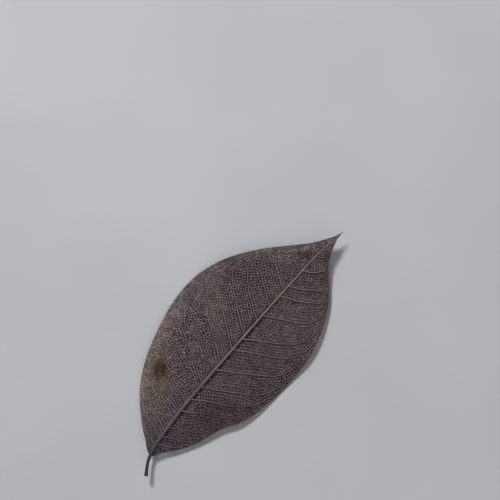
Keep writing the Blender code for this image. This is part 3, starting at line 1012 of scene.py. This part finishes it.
class LEAF_OT_side_veins(bpy.types.Operator):
    """Model the side veins, and the fainter ones between them"""

    bl_idname = "leaf.side_veins"
    bl_label = "Side Veins"

    def execute(self, context):
        colours = context.scene.leaf_colours
        pale = vein_fibre("dry side vein fibre", colours.side_pale, colours.faint_vein, UNEVEN_DYE)
        dyed = vein_fibre("dyed side vein fibre", colours.side_dyed, colours.faint_vein, UNEVEN_DYE)
        dull = vein_fibre("dyed faint vein fibre", colours.side_dyed, colours.faint_vein, FAINT_UNEVEN_DYE)
        vein_tubes("side_veins_right", self.strong_veins(context, RIGHT), pale, sides=10)
        vein_tubes("side_veins_left", self.strong_veins(context, LEFT), dyed, sides=10)
        vein_tubes("faint_veins", self.faint_veins(context), dull, sides=8)
        return {"FINISHED"}

    def strong_veins(self, context, side):
        """Lines and widths of the side veins of one side, thinner where the blade is short."""
        sizes = context.scene.leaf_sizes
        rng = random.Random(VEIN_DRAWS + side)
        veins = []
        for start, sweep in all_veins(side):
            line = side_vein(start, sweep, side, SIDE_REACH, count=48)
            share = np.linspace(0, 1, len(line))
            full = SHORT_VEIN + (1 - SHORT_VEIN) * min(1.0, float(half_width(start, side)) / VEIN_FULL_AT)
            root = sizes.vein_width * full * rng.uniform(*VEIN_CHANCE)
            end = sizes.vein_end_width
            veins.append((on_leaf(line, VEIN_LIFT), (end + (root - end) * (1 - share ** VEIN_TAPER)) / MM))
        return veins

    def faint_veins(self, context):
        """Lines and widths of the fainter veins of both sides."""
        faint = context.scene.leaf_sizes.faint_width / MM
        veins = []
        for side in (LEFT, RIGHT):
            for start, sweep in faint_veins(side):
                line = side_vein(start, sweep, side, FAINT_REACH, count=36)
                veins.append((on_leaf(line, FAINT_LIFT), np.linspace(faint, FAINT_END * faint, len(line))))
        return veins


class LEAF_OT_margin_veins(bpy.types.Operator):
    """Model the vein that closes the net along each margin"""

    bl_idname = "leaf.margin_veins"
    bl_label = "Margin Veins"

    def execute(self, context):
        colours = context.scene.leaf_colours
        full = context.scene.leaf_sizes.margin_width / MM
        veins = []
        for side in (LEFT, RIGHT):
            places = np.linspace(BLADE_START, LENGTH - MARGIN_STOP, num=210)
            line = [point_across(edge_share(y), y, side) for y in places]
            room = np.minimum(half_width(places, side) / MARGIN_FULL_AT, 1.0)
            veins.append((on_leaf(line, 0.0), full * (SHORT_MARGIN + (1 - SHORT_MARGIN) * room)))
        edge = vein_fibre("dyed margin vein fibre", colours.margin, colours.faint_vein, EDGE_UNEVEN_DYE)
        vein_tubes("margin_veins", veins, edge, sides=8)
        return {"FINISHED"}


class LEAF_OT_frayed_ends(bpy.types.Operator):
    """Model the loose ends of fine veins that stand out past the margins"""

    bl_idname = "leaf.frayed_ends"
    bl_label = "Frayed Ends"

    def execute(self, context):
        colours = context.scene.leaf_colours
        rng = random.Random(FRAY_DRAWS)
        ends = []
        for side in (LEFT, RIGHT):
            y = BLADE_START + FRAY_ROOM[0]
            while y < LENGTH - FRAY_ROOM[1]:
                ends.append(self.loose_end(y, side, rng))
                y += rng.uniform(*FRAY_GAP)
        frayed = vein_fibre("frayed vein fibre", colours.margin, colours.net_purple, EDGE_UNEVEN_DYE)
        vein_tubes("frayed_ends", ends, frayed, sides=4)
        return {"FINISHED"}

    def loose_end(self, y, side, rng, count=5):
        """Line and widths of one loose end, mostly short and leaning towards the tip."""
        before, after = (np.array(point_across(1.0, y + step, side)) for step in (-MARGIN_STEP, MARGIN_STEP))
        along = after - before
        heading = math.atan2(along[1], along[0]) - side * (math.pi / 2 - rng.uniform(*FRAY_LEAN))
        length = FRAY_SHORTEST + FRAY_LONGER * rng.random() ** FRAY_RARITY
        curl = rng.uniform(-FRAY_CURL, FRAY_CURL)
        rise = rng.uniform(-FRAY_RISE, FRAY_RISE)
        line = [np.array(point_across(FRAY_ROOT, y, side))]
        for _ in range(count - 1):
            line.append(line[-1] + length / (count - 1) * np.array([math.cos(heading), math.sin(heading)]))
            heading += curl
        points = on_leaf(line, 0.0)
        points[:, 2] += rise * np.linspace(0, 1, count)
        return points, np.linspace(*FRAY_WIDTHS, count)


class LEAF_OT_net(bpy.types.Operator):
    """Model the net: its coarser veins in one piece, and its finest in four that meet under other veins"""

    bl_idname = "leaf.net"
    bl_label = "Vein Net"

    def execute(self, context):
        colours = context.scene.leaf_colours
        sizes = context.scene.leaf_sizes
        walls = np.array([sizes.fine_wall, sizes.middle_wall, sizes.wide_wall, sizes.wide_wall]) / MM
        middle, fine = net_levels()
        coarse = net_fibre("dyed coarse net fibre", colours.net_purple, colours.net_brown, colours, roughness=0.68)
        rings = [ring for _, ring in middle.cells()]
        self.net_piece("net_coarse", rings, middle, np.maximum(middle.corner_ranks(), MIDDLE_RANK), walls,
                       COARSE_LIFT, coarse)
        thin = net_fibre("dyed fine net fibre", colours.fine_purple, colours.fine_brown, colours, roughness=0.75)
        walls[1:] = 0.5 * (walls[0] + walls[1:])
        for name, rings in self.quarters(fine).items():
            self.net_piece(name, rings, fine, fine.corner_ranks(), walls, 0.0, thin)
        return {"FINISHED"}

    def quarters(self, net):
        """Cells of a net by piece: right or left of the midrib, and below or above a side vein."""
        x, y = np.array(net.seeds.points).T
        right = across(x, y) >= 0
        beyond = {side: vein_root(x, y, side) > VEINS[side][PARTING_VEIN][0] for side in (LEFT, RIGHT)}
        parts = {"net_right_base": [], "net_right_tip": [], "net_left_base": [], "net_left_tip": []}
        for seed, ring in net.cells():
            half, side = ("right", RIGHT) if right[seed] else ("left", LEFT)
            end = "tip" if beyond[side][seed] else "base"
            parts[f"net_{half}_{end}"].append(ring)
        return parts

    def net_piece(self, name, rings, net, ranks, walls, lift, material):
        """One piece of a net: its cells as a flat sheet, whose walls are made threads and bent."""
        if not rings:
            raise RuntimeError(f"no cells for {name}")
        shares = np.interp(ranks, [FINE_RANK, MIDDLE_RANK, WIDE_RANK, VEIN_RANK], walls)
        x, y = net.corners[:, 0], net.corners[:, 1]
        outward = across(x, y)
        tip = np.clip((y - TIP_FROM) / TIP_OVER, 0, 1)
        edge = np.clip((np.abs(outward) - DENSER_FROM) / DENSER_OVER, 0, 1)
        denser = np.where(outward < 0, DENSER_LEFT, DENSER_RIGHT) * edge
        shares *= 1 + denser * (1 - tip) + DENSER_TIP * tip
        used = sorted({corner for ring in rings for corner in ring})
        thickest = shares[used].max()
        place = {corner: i for i, corner in enumerate(used)}
        mesh = bpy.data.meshes.new(name)
        mesh.from_pydata([(*net.corners[c], 0.0) for c in used], [], [[place[c] for c in ring] for ring in rings])
        piece = bpy.data.objects.new(name, mesh)
        bpy.context.scene.collection.objects.link(piece)
        group = piece.vertex_groups.new(name="thickness")
        for i, corner in enumerate(used):
            group.add([i], float(shares[corner] / thickest), "REPLACE")
        select_only(piece)
        bpy.ops.object.mode_set(mode="EDIT")
        bpy.ops.mesh.select_all(action="SELECT")
        bpy.ops.mesh.remove_doubles(threshold=SHORTEST_WALL * net.cell)
        bpy.ops.object.mode_set(mode="OBJECT")
        threads = piece.modifiers.new("threads", "WIREFRAME")
        threads.thickness = thickest
        threads.vertex_group = "thickness"
        threads.use_even_offset = True
        threads.use_boundary = True
        bpy.ops.object.modifier_apply(modifier="threads")
        piece.vertex_groups.clear()
        place_points(piece.data, lift)
        bpy.ops.object.shade_smooth()
        self.map_both_faces(piece.data)
        settle(piece, material)

    def map_both_faces(self, mesh):
        """Lay the upper faces out as seen from above in one half of a UV map, and the lower in the other."""
        corner = np.empty(len(mesh.loops), dtype=np.int32)
        mesh.loops.foreach_get("vertex_index", corner)
        points = mesh_points(mesh)[:, :2]
        flat = (points - points.min(axis=0)) / (points.max(axis=0) - points.min(axis=0))
        normals = np.empty(len(mesh.polygons) * 3)
        mesh.polygons.foreach_get("normal", normals)
        counts = np.empty(len(mesh.polygons), dtype=np.int32)
        mesh.polygons.foreach_get("loop_total", counts)
        below = np.repeat(normals.reshape(-1, 3)[:, 2] < 0, counts)
        places = flat[corner] * MAP_SIZE + MAP_RIM
        places[below, 0] += MAP_ASIDE
        layer = mesh.uv_layers.new(name="OFBake")
        layer.data.foreach_set("uv", places.ravel())


class LEAF_OT_tissue(bpy.types.Operator):
    """Model a bit of old leaf tissue that clings under the net, as a thin ragged flake"""

    bl_idname = "leaf.tissue"
    bl_label = "Tissue Flake"

    def execute(self, context):
        x, y, radius, _ = TISSUE_SPOTS[0]
        bpy.ops.object.select_all(action="DESELECT")
        bpy.ops.mesh.primitive_circle_add(vertices=44, radius=1.0, fill_type="TRIFAN")
        flake = bpy.context.object
        flake.name = "tissue"
        rng = random.Random(FLAKE_DRAWS)
        for vertex in flake.data.vertices:
            ragged = radius * FLAKE_SIZE * rng.uniform(*FLAKE_RAGS)
            vertex.co = (x + vertex.co.x * ragged * FLAKE_NARROWER, y + vertex.co.y * ragged, 0.0)
        select_only(flake)
        sheet = flake.modifiers.new("sheet", "SOLIDIFY")
        sheet.thickness = TISSUE_THICKNESS
        sheet.offset = 0.0
        bpy.ops.object.modifier_apply(modifier="sheet")
        place_points(flake.data, -TISSUE_DEPTH)
        bpy.ops.object.shade_smooth_by_angle(angle=math.radians(50))
        settle(flake, dry_tissue(context.scene.leaf_colours))
        return {"FINISHED"}


class LEAF_OT_stage(bpy.types.Operator):
    """Set up the floor, the soft lights and the camera above"""

    bl_idname = "leaf.stage"
    bl_label = "Stage"

    def execute(self, context):
        stage = context.scene.leaf_stage
        self.add_floor(stage)
        self.add_light("key light", place=(-0.66, 0.31, 0.80), size=0.22, power=stage.key_power)
        self.add_light("fill light", place=(0.45, -0.30, 0.55), size=0.60, power=stage.fill_power)
        world = bpy.data.worlds.new("studio")
        context.scene.world = world
        world.use_nodes = True
        sky = world.node_tree.nodes["Background"]
        sky.inputs["Color"].default_value = WHITE
        sky.inputs["Strength"].default_value = stage.sky
        context.scene.view_settings.view_transform = "Standard"
        self.add_camera(context, stage)
        if context.scene.camera is None:
            raise RuntimeError("the stage has no camera")
        return {"FINISHED"}

    def add_floor(self, stage):
        """Plain pale floor that the leaf lies on."""
        bpy.ops.object.select_all(action="DESELECT")
        bpy.ops.mesh.primitive_plane_add(size=4.0, location=(0.0, 0.0, -FLOOR_GAP * MM))
        floor = bpy.context.object
        floor.name = "floor"
        floor.data.materials.append(painted_board(stage.floor))

    def add_light(self, name, place, size, power):
        """Large square light that points at the leaf."""
        bpy.ops.object.light_add(type="AREA", location=place)
        light = bpy.context.object
        light.name = name
        light.data.shape = "SQUARE"
        light.data.size = size
        light.data.energy = power
        light.rotation_euler = Vector(place).to_track_quat("Z", "Y").to_euler()

    def add_camera(self, context, stage):
        """Camera straight above, turned and placed so that the leaf lies as in the photograph."""
        run = (TIP_PIXEL[0] - STEM_PIXEL[0], STEM_PIXEL[1] - TIP_PIXEL[1])
        pixels = math.hypot(*run)
        forward = (run[0] / pixels, run[1] / pixels)
        scale = pixels / LENGTH
        right = FRAME_PIXELS / 2 - STEM_PIXEL[0]
        up = STEM_PIXEL[1] - FRAME_PIXELS / 2
        y = (right * forward[0] + up * forward[1]) / scale - LEAF_MIDDLE[1]
        x = (right * forward[1] - up * forward[0]) / scale - LEAF_MIDDLE[0]
        turn = math.atan2(forward[0], forward[1])
        bpy.ops.object.camera_add(location=(x * MM, y * MM, stage.camera_height), rotation=(0.0, 0.0, turn))
        camera = bpy.context.object
        camera.data.sensor_width = SENSOR
        camera.data.lens = SENSOR * stage.camera_height / (FRAME_PIXELS / scale * MM)
        camera.data.clip_start = 0.01
        context.scene.camera = camera


class LEAF_PT_panel(bpy.types.Panel):
    """Lists the pieces of the skeleton leaf and its settings"""

    bl_idname = "LEAF_PT_panel"
    bl_label = "Skeleton Leaf"
    bl_space_type = "VIEW_3D"
    bl_region_type = "UI"
    bl_category = "Skeleton Leaf"

    def draw(self, context):
        for operator in OPERATORS:
            self.layout.operator(operator.bl_idname)
        for settings in (context.scene.leaf_sizes, context.scene.leaf_colours, context.scene.leaf_stage):
            box = self.layout.box()
            for name in settings.__annotations__:
                box.prop(settings, name)


OPERATORS = (LEAF_OT_midrib, LEAF_OT_side_veins, LEAF_OT_margin_veins, LEAF_OT_frayed_ends, LEAF_OT_net,
             LEAF_OT_tissue, LEAF_OT_stage)
SETTINGS = {"leaf_sizes": SkeletonLeafSizes, "leaf_colours": SkeletonLeafColours, "leaf_stage": SkeletonLeafStage}


def register():
    """Register the settings, the operators and the panel."""
    for name, group in SETTINGS.items():
        bpy.utils.register_class(group)
        setattr(bpy.types.Scene, name, bpy.props.PointerProperty(type=group))
    for operator in OPERATORS:
        bpy.utils.register_class(operator)
    bpy.utils.register_class(LEAF_PT_panel)


def unregister():
    """Take the panel, the operators and the settings away again."""
    bpy.utils.unregister_class(LEAF_PT_panel)
    for operator in reversed(OPERATORS):
        bpy.utils.unregister_class(operator)
    for name, group in SETTINGS.items():
        delattr(bpy.types.Scene, name)
        bpy.utils.unregister_class(group)


def main():
    """Build the leaf piece by piece, then the stage."""
    register()
    bpy.ops.leaf.midrib()
    bpy.ops.leaf.side_veins()
    bpy.ops.leaf.margin_veins()
    bpy.ops.leaf.frayed_ends()
    bpy.ops.leaf.net()
    bpy.ops.leaf.tissue()
    bpy.ops.leaf.stage()


if __name__ == "__main__":
    main()
